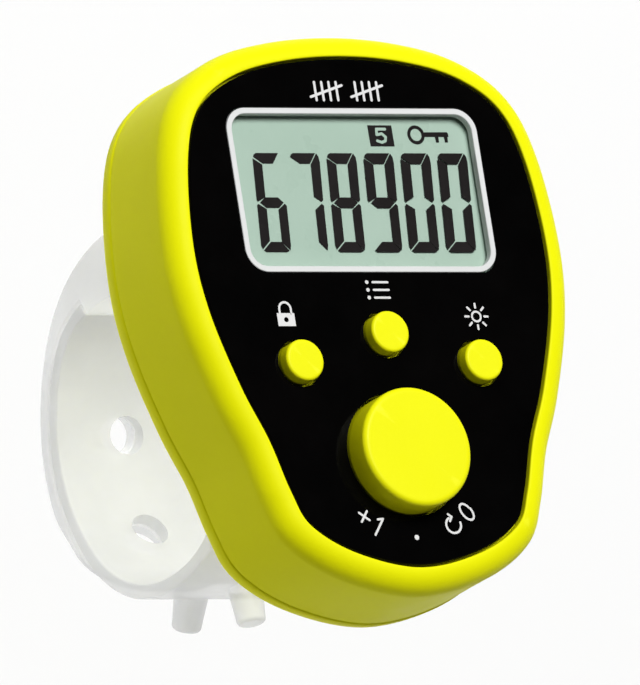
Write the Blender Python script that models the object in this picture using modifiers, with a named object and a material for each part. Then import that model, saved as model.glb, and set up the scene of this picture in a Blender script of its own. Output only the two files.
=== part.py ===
"""Finger tally counter: shield-shaped case, LCD, four push buttons and a soft finger strap.

Frame: +Z out of the front panel, +Y towards the top of the display, +X to the wearer's right of the
display. The origin is the centre of the finger loop, and the finger runs along X. Units are metres.
Dimensions named CASE_... and every height inside the case are measured in the case's own frame, whose
origin is the middle of the front rim: an empty there carries all the pieces of the case.
"""
import math

import bmesh
import bpy
import numpy as np
from mathutils import Matrix, Vector

MM = 0.001

# ---------------------------------------------------------------- driving dimensions
CASE_CENTRE_Y = 1.9 * MM          # case centre above the finger's axis
CASE_FRONT_Z = 25.5 * MM          # front rim in front of the finger's axis
CASE_DEPTH = 11.0 * MM
RIM_WIDTH = 1.85 * MM             # yellow border round the black panel
RIM_RADIUS = 1.75 * MM
REAR_RADIUS = 2.0 * MM
WALL = 1.45 * MM
PARTING_Z = -8.5 * MM
PARTING_GAP = 0.2 * MM
FIT = 0.2 * MM                    # clearance between pieces that touch
OUTLINE_STEPS = 3                 # spline steps between two outline points

PANEL_THICK = 0.6 * MM
PANEL_TOP_Z = -0.1 * MM
PLATE_TOP_Z = -0.9 * MM           # face plate of the front shell, under the panel
PLATE_BOTTOM_Z = -2.0 * MM

WINDOW_CENTRE_Y = 9.35 * MM
WINDOW_SIZE = (21.9 * MM, 12.9 * MM)
WINDOW_RADIUS = 1.9 * MM
BEZEL_WIDTH = 0.45 * MM

COUNT_AT = (0.0, -11.1 * MM)
COUNT_RADIUS = 4.6 * MM
COUNT_HEIGHT = 2.2 * MM           # above the panel
SMALL_RADIUS = 1.6 * MM
SMALL_HEIGHT = 0.95 * MM
SMALL_BUTTONS = {
    "lock": (-7.75 * MM, -4.05 * MM),
    "channel": (0.0, -1.86 * MM),
    "light": (7.75 * MM, -4.05 * MM),
}
HOLE_CLEARANCE = 0.22 * MM
FLANGE_TOP_Z = -2.2 * MM
FLANGE_BOTTOM_Z = -2.7 * MM
STEM_BOTTOM_Z = -3.45 * MM

SMALL_EDGE = 0.22 * MM            # rounding of the buttons' rims
COUNT_EDGE = 0.4 * MM
COUNT_FLANGE = 0.8 * MM           # how far the collar under the panel stands out
SMALL_FLANGE = 0.65 * MM
COUNT_STEM = 1.6 * MM
SMALL_STEM = 0.9 * MM
COUNT_DOME_RADIUS = 3.2 * MM
SMALL_DOME_RADIUS = 1.9 * MM
DOME_SKIN = 0.3 * MM

LCD_WIDTH = 23.4 * MM
LCD_TOP_Y = 16.2 * MM
LCD_BOTTOM_Y = 2.5 * MM
LCD_LEDGE = 1.5 * MM              # strip of the upper glass that the elastomer strip touches
LCD_TOP_Z = -0.95 * MM
LCD_CORNER = 1.2 * MM
GLASS_THICK = 0.6 * MM
GUIDE_SIZE = (22.2 * MM, 11.6 * MM, 0.9 * MM)
GUIDE_CENTRE_Y = 10.1 * MM
HOLDER_SIZE = (24.4 * MM, 15.1 * MM)
HOLDER_CORNER = 2.0 * MM
HOLDER_WALL = 0.6 * MM
ZEBRA_SIZE = (20.0 * MM, 0.9 * MM)
LED_SIZE = (2.0 * MM, 1.25 * MM, 0.85 * MM)
LED_X = 7.0 * MM                  # backlight lamps under the light guide
LED_Y = 10.0 * MM

BOARD_TOP_Z = -4.8 * MM
BOARD_THICK = 0.8 * MM
BOARD_INSET = 0.2 * MM            # inside the panel's outline
CHIP_AT = (0.0, -9.5 * MM)
CHIP_PROFILE = [(3.2 * MM, 0.0), (3.0 * MM, 0.4 * MM), (2.0 * MM, 0.85 * MM), (0.0, 1.05 * MM)]
CRYSTAL_RADIUS = 0.8 * MM
CRYSTAL_LENGTH = 5.2 * MM
CRYSTAL_AT = (-9.3 * MM, -5.2 * MM)
CAPACITOR_SIZE = (1.6 * MM, 3.2 * MM, 1.3 * MM)
CAPACITOR_AT = (9.3 * MM, -5.2 * MM)
CELL_RADIUS = 5.8 * MM
CELL_THICK = 3.05 * MM
CELL_TOP_Z = -6.3 * MM
CELL_AT = (6.1 * MM, 11.4 * MM)
CELL_EDGE = 0.35 * MM
CELL_CAP_INSET = 1.3 * MM         # the raised cap's edge, inside the can's edge
LEAF = 0.2 * MM                   # thickness of the sprung contacts
POSITIVE_SIZE = (1.2 * MM, 4.0 * MM, 2.8 * MM)
NEGATIVE_SIZE = (3.0 * MM, 5.0 * MM)
NEGATIVE_KNOB_RADIUS = 1.0 * MM
NEGATIVE_KNOB_DROP = 0.15 * MM
BRIDGE_SIZE = (16.0 * MM, 4.0 * MM)
FLOOR_TOP_Z = -9.8 * MM           # inner face of the rear shell's floor

SCREWS = {
    "upper": (13.1 * MM, 0.2 * MM),
    "lower": (7.6 * MM, -15.2 * MM),
}
PILLAR_RADIUS = 1.7 * MM
PILLAR_BOTTOM_Z = -7.2 * MM
BOSS_RADIUS = 1.8 * MM
SCREW_SHANK_RADIUS = 0.6 * MM
SCREW_HEAD_RADIUS = 1.3 * MM
SCREW_SLOT = (1.5 * MM, 0.4 * MM, 0.8 * MM)
LIP_HEIGHT = 0.9 * MM             # the rear shell's lip reaches this far past the parting line
LIP_INSET = 0.9 * MM

STRAP_WIDTH = 12.2 * MM
ARM_THICK = 1.15 * MM             # inner arm
LAYER_GAP = 0.3 * MM
FLEX_ANGLE = 40.0                 # degrees from +Z towards +Y: where each arm leaves the saddle
FLEX_GAP = 0.3 * MM
TOP_HINGE_RADIUS = 16.0 * MM      # the upper arm folds about its outer skin
BOTTOM_HINGE_RADIUS = 12.5 * MM
HOLE_ANGLES = (163.6, 200.2)      # degrees from +Z towards +Y
PEG_ANGLES = (236.9, 273.6)
HOLE_RADIUS = 1.45 * MM
PEG_BASE_RADIUS = 1.32 * MM
PEG_TIP_RADIUS = 1.12 * MM
PEG_LENGTH = 2.85 * MM
PEG_EDGE = 0.3 * MM
ARM_END_ANGLE = 118.0             # free end of the inner arm
TIP_ANGLE = 224.0                 # rounded free end of the outer arm
TIP_CORNER = 4.6 * MM
STEM_SIZE = (7.4 * MM, 6.4 * MM)  # saddle's neck through the rear shell, and its foot inside
FOOT_SIZE = (10.0 * MM, 9.4 * MM, 0.8 * MM)

# Right half of the black panel's outline, top centre to bottom centre, in millimetres.
PANEL_HALF = [
    (0.0, 19.7), (5.2, 19.3), (9.7, 18.1), (13.0, 15.7), (14.6, 11.7), (15.3, 5.2), (14.8, -0.1),
    (13.1, -5.9), (11.4, -10.0), (10.2, -14.0), (8.9, -16.6), (5.3, -18.7), (0.0, -19.8),
]

# Radii in millimetres of the strap's faces about the finger's axis, by angle in degrees.
INNER_RADIUS = [
    (0, 11.5), (60, 11.2), (90, 11.1), (108, 11.9), (133, 13.3), (150, 13.2),
    (175, 12.6), (200, 11.9), (225, 11.5), (250, 11.2), (270, 11.1), (300, 11.4),
]
OUTER_RADIUS = [
    (40, 16.2), (95, 16.2), (125, 16.25), (150, 15.7), (175, 15.1), (190, 14.6), (200, 13.9),
    (208, 13.62), (226, 13.48),
]
ROOT_THICKENING = 0.9             # extra radius of the inner arm where it meets the saddle


# ---------------------------------------------------------------- scene helpers
def clear_scene():
    for obj in list(bpy.data.objects):
        bpy.data.objects.remove(obj, do_unlink=True)


def new_collection(name):
    collection = bpy.data.collections.new(name)
    bpy.context.scene.collection.children.link(collection)
    return collection


def make_material(name, colour, roughness, metallic=0.0, alpha=1.0):
    material = bpy.data.materials.new(name)
    material.use_nodes = True
    shader = material.node_tree.nodes["Principled BSDF"]
    shader.inputs["Base Color"].default_value = (*colour, 1.0)
    shader.inputs["Roughness"].default_value = roughness
    shader.inputs["Metallic"].default_value = metallic
    shader.inputs["Alpha"].default_value = alpha
    return material


def place(name, mesh, material, parent, at=(0.0, 0.0, 0.0), smooth=True):
    """Add a part to the parts collection, with its origin at the given point of its parent."""
    mesh.name = name
    if smooth:
        mesh.shade_smooth()
        mesh.set_sharp_from_angle(angle=math.radians(30))
    obj = bpy.data.objects.new(name, mesh)
    obj.location = at
    obj.parent = parent
    obj.data.materials.append(material)
    PARTS.objects.link(obj)
    return obj


def place_cutter(name, mesh, parent, at=(0.0, 0.0, 0.0)):
    obj = bpy.data.objects.new(name, mesh)
    obj.location = at
    obj.parent = parent
    obj.hide_render = True
    obj.display_type = "WIRE"
    CUTTERS.objects.link(obj)
    return obj


def boolean(obj, other, operation):
    modifier = obj.modifiers.new(f"{operation.lower()}_{other.name}", "BOOLEAN")
    modifier.operation = operation
    modifier.object = other
    return modifier


def bevel(obj, width, segments, angle=60):
    modifier = obj.modifiers.new("rounded_edges", "BEVEL")
    modifier.width = width
    modifier.segments = segments
    modifier.limit_method = "ANGLE"
    modifier.angle_limit = math.radians(angle)
    return modifier


# ---------------------------------------------------------------- outlines and meshes
def case_outline(offset):
    """Closed outline of the black panel, moved outwards by an offset, as x, y points."""
    half = np.array(PANEL_HALF) * MM
    mirrored = half[-2:0:-1] * (-1.0, 1.0)
    knots = np.vstack([half, mirrored])
    count = len(knots)
    steps = np.linspace(0.0, 1.0, OUTLINE_STEPS, endpoint=False)[:, None]
    stretches = []
    for i in range(count):
        a, b, c, d = (knots[(i + k) % count] for k in (-1, 0, 1, 2))
        cubic = 2 * b + (c - a) * steps + (2 * a - 5 * b + 4 * c - d) * steps**2
        cubic += (3 * b - a - 3 * c + d) * steps**3
        stretches.append(cubic / 2)
    points = np.vstack(stretches)
    along = np.roll(points, -1, axis=0) - np.roll(points, 1, axis=0)
    along /= np.linalg.norm(along, axis=1)[:, None]
    outward = np.stack([-along[:, 1], along[:, 0]], axis=1)
    return points + outward * offset


def circle_outline(radius, at=(0.0, 0.0), sides=24):
    angles = [2 * math.pi * i / sides for i in range(sides)]
    return [(at[0] + radius * math.cos(t), at[1] + radius * math.sin(t)) for t in angles]


def box_outline(width, height, radius=0.0, at=(0.0, 0.0), corner_steps=4):
    """Rectangle with round corners, counter-clockwise."""
    if radius == 0.0:
        signs = ((1, 1), (-1, 1), (-1, -1), (1, -1))
        return [(at[0] + sx * width / 2, at[1] + sy * height / 2) for sx, sy in signs]
    points = []
    for corner in range(4):
        turn = corner * math.pi / 2
        sx = 1 if corner in (0, 3) else -1
        sy = 1 if corner in (0, 1) else -1
        centre = (at[0] + sx * (width / 2 - radius), at[1] + sy * (height / 2 - radius))
        for i in range(corner_steps + 1):
            t = turn + i * math.pi / 2 / corner_steps
            points.append((centre[0] + radius * math.cos(t), centre[1] + radius * math.sin(t)))
    return points


def extruded(loops, bottom, top):
    """Mesh of a flat outline, with any holes in it, between two heights.

    The curve is filled in millimetres, because Blender's fill loses edges on very small outlines.
    """
    curve = bpy.data.curves.new("outline", "CURVE")
    curve.dimensions = "2D"
    curve.fill_mode = "BOTH"
    curve.extrude = (top - bottom) / 2 / MM
    for loop in loops:
        spline = curve.splines.new("POLY")
        spline.points.add(len(loop) - 1)
        for point, (x, y) in zip(spline.points, loop):
            point.co = (x / MM, y / MM, 0.0, 1.0)
        spline.use_cyclic_u = True
    obj = bpy.data.objects.new("outline", curve)
    bpy.context.scene.collection.objects.link(obj)
    bpy.context.view_layer.update()
    evaluated = obj.evaluated_get(bpy.context.evaluated_depsgraph_get())
    mesh = bpy.data.meshes.new_from_object(evaluated)
    bpy.data.objects.remove(obj)
    bpy.data.curves.remove(curve)
    shape = bmesh.new()
    shape.from_mesh(mesh)
    bmesh.ops.scale(shape, verts=shape.verts, vec=(MM, MM, MM))
    bmesh.ops.remove_doubles(shape, verts=shape.verts, dist=1e-6)
    bmesh.ops.translate(shape, verts=shape.verts, vec=(0.0, 0.0, (top + bottom) / 2))
    bmesh.ops.recalc_face_normals(shape, faces=shape.faces)
    if len(loops) == 1:
        flat = math.radians(0.5)
        bmesh.ops.dissolve_limit(shape, angle_limit=flat, verts=shape.verts, edges=shape.edges)
    shape.to_mesh(mesh)
    shape.free()
    return mesh


def cylinder(radius, bottom, top, sides=24, top_radius=None):
    shape = bmesh.new()
    bmesh.ops.create_cone(
        shape, cap_ends=True, segments=sides, radius1=radius,
        radius2=radius if top_radius is None else top_radius, depth=top - bottom,
    )
    bmesh.ops.translate(shape, verts=shape.verts, vec=(0.0, 0.0, (top + bottom) / 2))
    mesh = bpy.data.meshes.new("cylinder")
    shape.to_mesh(mesh)
    shape.free()
    return mesh


def box(size, centre):
    shape = bmesh.new()
    bmesh.ops.create_cube(shape, size=1.0)
    bmesh.ops.scale(shape, verts=shape.verts, vec=size)
    bmesh.ops.translate(shape, verts=shape.verts, vec=centre)
    mesh = bpy.data.meshes.new("box")
    shape.to_mesh(mesh)
    shape.free()
    return mesh


def moved(mesh, at):
    mesh.transform(Matrix.Translation(at))
    return mesh


def joined(meshes):
    """One mesh out of several that stand apart, for a cutter with several bodies."""
    shape = bmesh.new()
    for mesh in meshes:
        shape.from_mesh(mesh)
    result = bpy.data.meshes.new("joined")
    shape.to_mesh(result)
    shape.free()
    return result


def turned(name, profile, material, parent, at, steps=24):
    """Solid of revolution about Z from a profile of (radius, height), listed from top to bottom."""
    mesh = bpy.data.meshes.new(name)
    points = [(radius, 0.0, height) for radius, height in profile]
    edges = [(i, i + 1) for i in range(len(points) - 1)]
    mesh.from_pydata(points, edges, [])
    obj = bpy.data.objects.new(name, mesh)
    obj.location = at
    obj.parent = parent
    obj.data.materials.append(material)
    PARTS.objects.link(obj)
    screw = obj.modifiers.new("turned", "SCREW")
    screw.axis = "Z"
    screw.steps = steps
    screw.render_steps = steps
    screw.use_merge_vertices = True
    screw.merge_threshold = 1e-6
    screw.use_normal_calculate = False
    return obj


def screw_places():
    for row, (x, y) in SCREWS.items():
        for side, sign in (("left", -1), ("right", 1)):
            yield f"{row}_{side}", (sign * x, y)


def button_places():
    yield "count", COUNT_AT, COUNT_RADIUS
    for name, at in SMALL_BUTTONS.items():
        yield name, at, SMALL_RADIUS


# ---------------------------------------------------------------- case
def build_front_shell(origin):
    outer = case_outline(RIM_WIDTH)
    shell = place("front_shell", extruded([outer], -CASE_DEPTH, 0.0), YELLOW, origin)
    bevel(shell, RIM_RADIUS, 3)
    below = 2 * CASE_DEPTH
    rear_part = box((0.1, 0.1, below), (0.0, 0.0, PARTING_Z + PARTING_GAP / 2 - below / 2))
    boolean(shell, place_cutter("cut_rear_part", rear_part, origin), "DIFFERENCE")
    inside = extruded([case_outline(RIM_WIDTH - WALL)], -2 * CASE_DEPTH, PLATE_BOTTOM_Z)
    boolean(shell, place_cutter("cut_inside", inside, origin), "DIFFERENCE")
    recess = extruded([case_outline(0.0)], PLATE_TOP_Z, CASE_DEPTH)
    boolean(shell, place_cutter("cut_panel_recess", recess, origin), "DIFFERENCE")
    pillars = []
    for _, (x, y) in screw_places():
        pillar = cylinder(PILLAR_RADIUS, PILLAR_BOTTOM_Z, PLATE_BOTTOM_Z + 0.5 * MM, 16)
        pillars.append(moved(pillar, (x, y, 0.0)))
    boolean(shell, place_cutter("screw_pillars", joined(pillars), origin), "UNION")
    width, height = WINDOW_SIZE
    glass_window = box_outline(width + 2.4 * MM, height + 2.0 * MM, WINDOW_RADIUS, (0.0, WINDOW_CENTRE_Y))
    holes = [extruded([glass_window], -0.5 * CASE_DEPTH, CASE_DEPTH)]
    for _, (x, y), radius in button_places():
        hole = cylinder(radius + HOLE_CLEARANCE, -0.3 * CASE_DEPTH, CASE_DEPTH)
        holes.append(moved(hole, (x, y, 0.0)))
    for _, (x, y) in screw_places():
        pilot = cylinder(SCREW_SHANK_RADIUS + 0.15 * MM, -CASE_DEPTH, PLATE_BOTTOM_Z - 1.0 * MM, 12)
        holes.append(moved(pilot, (x, y, 0.0)))
    boolean(shell, place_cutter("cut_holes", joined(holes), origin), "DIFFERENCE")


def build_rear_shell(origin):
    outer = case_outline(RIM_WIDTH)
    shell = place("rear_shell", extruded([outer], -CASE_DEPTH, 0.0), YELLOW, origin)
    bevel(shell, REAR_RADIUS, 4)
    above = 2 * CASE_DEPTH
    front_part = box((0.1, 0.1, above), (0.0, 0.0, PARTING_Z - PARTING_GAP / 2 + above / 2))
    boolean(shell, place_cutter("cut_front_part", front_part, origin), "DIFFERENCE")
    inside = extruded([case_outline(RIM_WIDTH - WALL)], FLOOR_TOP_Z, CASE_DEPTH)
    boolean(shell, place_cutter("cut_tray", inside, origin), "DIFFERENCE")
    lip_top = PARTING_Z + LIP_HEIGHT
    lip_outer = case_outline(RIM_WIDTH - WALL - FIT)
    lip_inner = case_outline(RIM_WIDTH - WALL - LIP_INSET)
    lip = extruded([lip_outer, lip_inner], FLOOR_TOP_Z - 0.1 * MM, lip_top)
    boolean(shell, place_cutter("lip", lip, origin), "UNION")
    bosses = []
    holes = []
    for _, (x, y) in screw_places():
        boss = cylinder(BOSS_RADIUS, FLOOR_TOP_Z - 0.3 * MM, PILLAR_BOTTOM_Z - FIT, 16)
        bosses.append(moved(boss, (x, y, 0.0)))
        seat = cylinder(SCREW_HEAD_RADIUS + FIT, -2 * CASE_DEPTH, -CASE_DEPTH + 1.3 * MM, 16)
        holes.append(moved(seat, (x, y, 0.0)))
    boolean(shell, place_cutter("screw_bosses", joined(bosses), origin), "UNION")
    boolean(shell, place_cutter("cut_screw_seats", joined(holes), origin), "DIFFERENCE")
    ways = []
    for _, (x, y) in screw_places():
        way = cylinder(SCREW_SHANK_RADIUS + 0.25 * MM, -CASE_DEPTH, -0.5 * CASE_DEPTH, 12)
        ways.append(moved(way, (x, y, 0.0)))
    slot_size = (STEM_SIZE[0] + 2 * FIT, STEM_SIZE[1] + 2 * FIT, CASE_DEPTH)
    ways.append(box(slot_size, (0.0, -CASE_CENTRE_Y, -CASE_DEPTH)))
    boolean(shell, place_cutter("cut_ways_through", joined(ways), origin), "DIFFERENCE")


def build_case_screws(origin):
    head_bottom = -CASE_DEPTH + 0.25 * MM
    head_top = -CASE_DEPTH + 1.15 * MM
    tip = PILLAR_BOTTOM_Z + 3.2 * MM
    for label, (x, y) in screw_places():
        profile = [
            (0.0, tip), (SCREW_SHANK_RADIUS * 0.5, tip), (SCREW_SHANK_RADIUS, tip - 0.5 * MM),
            (SCREW_SHANK_RADIUS, head_top), (SCREW_HEAD_RADIUS, head_top),
            (SCREW_HEAD_RADIUS, head_bottom + 0.3 * MM), (SCREW_HEAD_RADIUS * 0.75, head_bottom),
            (0.0, head_bottom),
        ]
        screw = turned(f"case_screw_{label}", profile, STEEL, origin, (x, y, 0.0), steps=12)
        arms = box(SCREW_SLOT, (x, y, head_bottom))
        boolean(screw, place_cutter(f"cut_slot_{label}", arms, origin), "DIFFERENCE")


# ---------------------------------------------------------------- front panel and window
def build_front_panel(origin):
    width, height = WINDOW_SIZE
    window = box_outline(width, height, WINDOW_RADIUS, (0.0, WINDOW_CENTRE_Y))
    loops = [case_outline(-FIT), window]
    for name, at, radius in button_places():
        sides = 32 if name == "count" else 20
        loops.append(circle_outline(radius + HOLE_CLEARANCE, at, sides))
    bottom = PANEL_TOP_Z - PANEL_THICK
    place("front_panel", extruded(loops, bottom, PANEL_TOP_Z), BLACK_GLOSS, origin)

    outer_width, outer_height = width - FIT, height - FIT
    bezel_outer = box_outline(outer_width, outer_height, WINDOW_RADIUS - FIT / 2, (0.0, WINDOW_CENTRE_Y))
    inner_width = outer_width - 2 * BEZEL_WIDTH
    inner_height = outer_height - 2 * BEZEL_WIDTH
    inner_radius = WINDOW_RADIUS - FIT / 2 - BEZEL_WIDTH
    bezel_inner = box_outline(inner_width, inner_height, inner_radius, (0.0, WINDOW_CENTRE_Y))
    place("window_bezel", extruded([bezel_outer, bezel_inner], bottom, PANEL_TOP_Z), PALE_GREY, origin)

    glass_width, glass_height = inner_width - FIT, inner_height - FIT
    pane = box_outline(glass_width, glass_height, inner_radius - FIT / 2, (0.0, WINDOW_CENTRE_Y))
    place("lcd_window", extruded([pane], bottom, PANEL_TOP_Z), CLEAR, origin)


# ---------------------------------------------------------------- display
def build_display(origin):
    def pane(name, low_y, top_z, thick, width, material):
        centre = (0.0, (LCD_TOP_Y + low_y) / 2)
        outline = box_outline(width, LCD_TOP_Y - low_y, LCD_CORNER, centre, corner_steps=3)
        place(name, extruded([outline], top_z - thick, top_z), material, origin)

    upper_bottom = LCD_TOP_Z - GLASS_THICK
    lower_top = upper_bottom - FIT
    lower_bottom = lower_top - GLASS_THICK
    pane("lcd_front_glass", LCD_BOTTOM_Y, LCD_TOP_Z, GLASS_THICK, LCD_WIDTH, LCD_GREEN)
    pane("lcd_rear_glass", LCD_BOTTOM_Y + LCD_LEDGE, lower_top, GLASS_THICK, LCD_WIDTH, LCD_GREEN)

    guide_top = lower_bottom - FIT
    guide_width, guide_height, guide_thick = GUIDE_SIZE
    guide_outline = box_outline(guide_width, guide_height, 0.0, (0.0, GUIDE_CENTRE_Y))
    guide = extruded([guide_outline], guide_top - guide_thick, guide_top)
    place("light_guide", guide, MILK_WHITE, origin, smooth=False)

    holder_top = lower_bottom
    floor_top = guide_top - guide_thick - FIT
    holder_bottom = floor_top - HOLDER_WALL
    width, height = HOLDER_SIZE
    centre = (0.0, WINDOW_CENTRE_Y)
    outline = box_outline(width, height, HOLDER_CORNER, centre, corner_steps=3)
    holder = place("lcd_holder", extruded([outline], holder_bottom, holder_top), MILK_WHITE, origin)
    pocket_width, pocket_height = width - 2 * HOLDER_WALL, height - 2 * HOLDER_WALL
    pocket_outline = box_outline(pocket_width, pocket_height, LCD_CORNER, centre, corner_steps=3)
    pocket = extruded([pocket_outline], floor_top, CASE_DEPTH)
    strip_y = LCD_BOTTOM_Y + LCD_LEDGE / 2
    strip_width, strip_depth = ZEBRA_SIZE
    through = 3 * HOLDER_WALL
    strip_hole_size = (strip_width + 3 * FIT, strip_depth + 2.5 * FIT, through)
    led_hole_size = (LED_SIZE[0] + 3 * FIT, LED_SIZE[1] + 3 * FIT, through)
    holes = [box(strip_hole_size, (0.0, strip_y, floor_top))]
    for sign in (-1, 1):
        holes.append(box(led_hole_size, (sign * LED_X, LED_Y, floor_top)))
    boolean(holder, place_cutter("cut_holder_pocket", pocket, origin), "DIFFERENCE")
    boolean(holder, place_cutter("cut_holder_holes", joined(holes), origin), "DIFFERENCE")

    strip_top = upper_bottom - FIT
    strip_bottom = BOARD_TOP_Z + FIT
    strip_height = strip_top - strip_bottom
    strip_centre = (0.0, strip_y, strip_bottom + strip_height / 2)
    strip = box((strip_width, strip_depth, strip_height), strip_centre)
    place("zebra_connector", strip, PINK_RUBBER, origin, smooth=False)


# ---------------------------------------------------------------- circuit board
def build_board(origin):
    bottom = BOARD_TOP_Z - BOARD_THICK
    outline = extruded([case_outline(-BOARD_INSET)], bottom, BOARD_TOP_Z)
    board = place("circuit_board", outline, BOARD_GREEN, origin)
    notches = []
    for _, (x, y) in screw_places():
        notch = cylinder(PILLAR_RADIUS + 2 * FIT, -CASE_DEPTH, 0.0, 12)
        notches.append(moved(notch, (x, y, 0.0)))
    boolean(board, place_cutter("cut_board_notches", joined(notches), origin), "DIFFERENCE")

    under = bottom - FIT
    blob_profile = [(0.0, under)] + [(radius, under - drop) for radius, drop in CHIP_PROFILE]
    turned("controller_chip", blob_profile, BLACK_MATT, origin, (*CHIP_AT, 0.0))

    crystal = cylinder(CRYSTAL_RADIUS, -CRYSTAL_LENGTH / 2, CRYSTAL_LENGTH / 2, 16)
    crystal.transform(Matrix.Rotation(math.radians(90), 4, "X"))
    place("crystal", crystal, STEEL, origin, (*CRYSTAL_AT, under - CRYSTAL_RADIUS))

    capacitor = box(CAPACITOR_SIZE, (0.0, 0.0, 0.0))
    can_z = under - CAPACITOR_SIZE[2] / 2
    can = place("capacitor", capacitor, TANTALUM, origin, (*CAPACITOR_AT, can_z))
    bevel(can, 0.15 * MM, 1)

    for side, sign in (("left", -1), ("right", 1)):
        chip = box(LED_SIZE, (0.0, 0.0, 0.0))
        at = (sign * LED_X, LED_Y, BOARD_TOP_Z + FIT + LED_SIZE[2] / 2)
        led = place(f"backlight_led_{side}", chip, MILK_WHITE, origin, at)
        bevel(led, 0.1 * MM, 1)


def build_power(origin):
    x, y = CELL_AT
    bottom = CELL_TOP_Z - CELL_THICK
    edge = CELL_EDGE
    cap = CELL_RADIUS - CELL_CAP_INSET
    profile = [
        (0.0, CELL_TOP_Z), (cap, CELL_TOP_Z),
        (cap + edge, CELL_TOP_Z - edge), (CELL_RADIUS - edge, CELL_TOP_Z - edge),
        (CELL_RADIUS, CELL_TOP_Z - 2 * edge), (CELL_RADIUS, bottom + edge),
        (CELL_RADIUS - edge, bottom), (0.0, bottom),
    ]
    for side, sign in (("left", -1), ("right", 1)):
        turned(f"button_cell_{side}", profile, STEEL, origin, (sign * x, y, 0.0), steps=24)

    leaf_top = BOARD_TOP_Z - BOARD_THICK - FIT
    foot_width, depth, leaf_height = POSITIVE_SIZE
    wall_x = x + CELL_RADIUS + FIT + 0.05 * MM
    upright = box((LEAF, depth, leaf_height), (wall_x + LEAF / 2, y, leaf_top - leaf_height / 2))
    foot = box((foot_width, depth, LEAF), (wall_x + foot_width / 2, y, leaf_top - LEAF / 2))
    positive = place("contact_positive", upright, BRASS, origin, smooth=False)
    boolean(positive, place_cutter("positive_foot", foot, origin), "UNION")

    pad = box((*NEGATIVE_SIZE, LEAF), (-x, y, leaf_top - LEAF / 2))
    knob_bottom = leaf_top - LEAF - NEGATIVE_KNOB_DROP
    knob = moved(cylinder(NEGATIVE_KNOB_RADIUS, knob_bottom, leaf_top - LEAF / 2, 16), (-x, y, 0.0))
    negative = place("contact_negative", pad, BRASS, origin, smooth=False)
    boolean(negative, place_cutter("negative_knob", knob, origin), "UNION")

    bridge = box((*BRIDGE_SIZE, LEAF), (0.0, y, FLOOR_TOP_Z + FIT / 2 + LEAF / 2))
    place("contact_bridge", bridge, BRASS, origin, smooth=False)


# ---------------------------------------------------------------- buttons and domes
def build_buttons(origin):
    for name, (x, y), radius in button_places():
        big = name == "count"
        top = PANEL_TOP_Z + (COUNT_HEIGHT if big else SMALL_HEIGHT)
        edge = COUNT_EDGE if big else SMALL_EDGE
        flange = radius + (COUNT_FLANGE if big else SMALL_FLANGE)
        stem = COUNT_STEM if big else SMALL_STEM
        profile = [
            (0.0, top), (radius - 1.3 * edge, top), (radius - 0.35 * edge, top - 0.3 * edge),
            (radius, top - edge), (radius, FLANGE_TOP_Z), (flange, FLANGE_TOP_Z),
            (flange, FLANGE_BOTTOM_Z), (stem, FLANGE_BOTTOM_Z), (stem, STEM_BOTTOM_Z),
            (0.0, STEM_BOTTOM_Z),
        ]
        turned(f"{name}_button", profile, YELLOW, origin, (x, y, 0.0), steps=36 if big else 20)

        crown_top = STEM_BOTTOM_Z - FIT
        foot = BOARD_TOP_Z + FIT
        spread = COUNT_DOME_RADIUS if big else SMALL_DOME_RADIUS
        crown = stem * 0.9
        skin = DOME_SKIN
        dome = [
            (0.0, crown_top), (crown, crown_top), (spread - skin, foot + skin), (spread, foot + skin),
            (spread, foot), (spread - 2 * skin, foot), (crown - skin / 2, crown_top - skin),
            (0.0, crown_top - skin),
        ]
        turned(f"{name}_dome", dome, GREY_RUBBER, origin, (x, y, 0.0), steps=16)


# ---------------------------------------------------------------- finger strap
def smooth_value(table, angle, period=None):
    """Value of a table of (angle, value) at an angle, with smooth steps between its rows."""
    angles = np.array([row[0] for row in table], float)
    values = np.array([row[1] for row in table], float)
    if period:
        angles = np.concatenate([angles - period, angles, angles + period])
        values = np.tile(values, 3)
    slopes = np.gradient(values, angles)
    k = int(np.clip(np.searchsorted(angles, angle) - 1, 0, len(angles) - 2))
    span = angles[k + 1] - angles[k]
    t = (angle - angles[k]) / span
    start = (1 + 2 * t) * (1 - t) ** 2 * values[k] + t * (1 - t) ** 2 * span * slopes[k]
    end = t**2 * (3 - 2 * t) * values[k + 1] + t**2 * (t - 1) * span * slopes[k + 1]
    return (start + end) * MM


def inner_face(angle):
    return smooth_value(INNER_RADIUS, angle, period=360.0)


def middle_face(angle):
    """Outer face of the inner arm, thicker where it meets the saddle."""
    from_root = (360.0 - FLEX_ANGLE) - angle
    thicker = ROOT_THICKENING * MM * max(0.0, 1.0 - from_root / 30.0) ** 2
    return inner_face(angle) + ARM_THICK + thicker


def outer_face(angle):
    return smooth_value(OUTER_RADIUS, angle)


def ring_point(angle, radius):
    """Point of the strap's profile as y, z: the angle runs from +Z towards +Y."""
    t = math.radians(angle)
    return (radius * math.sin(t), radius * math.cos(t))


def ring_profile(outer, inner, start, end, step=5.0):
    count = max(2, round((end - start) / step))
    angles = [start + (end - start) * i / count for i in range(count + 1)]
    points = [ring_point(a, outer(a)) for a in angles]
    points += [ring_point(a, inner(a)) for a in reversed(angles)]
    return points


def strap_mesh(loops, width=STRAP_WIDTH):
    """Extrude a profile given in y, z along X."""
    mesh = extruded(loops, -width / 2, width / 2)
    mesh.transform(Matrix(((0, 0, 1, 0), (1, 0, 0, 0), (0, 1, 0, 0), (0, 0, 0, 1))))
    return mesh


def radial(mesh, angle, radius):
    """Turn a mesh so that its +Z points out of the ring at an angle, at a radius."""
    y, z = ring_point(angle, radius)
    turn = Matrix.Rotation(-math.radians(angle), 4, "X")
    mesh.transform(Matrix.Translation((0.0, y, z)) @ turn)
    return mesh


def flex_axis(angle, radius):
    y, z = ring_point(angle, radius)
    return Vector((0.0, y, z))


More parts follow.
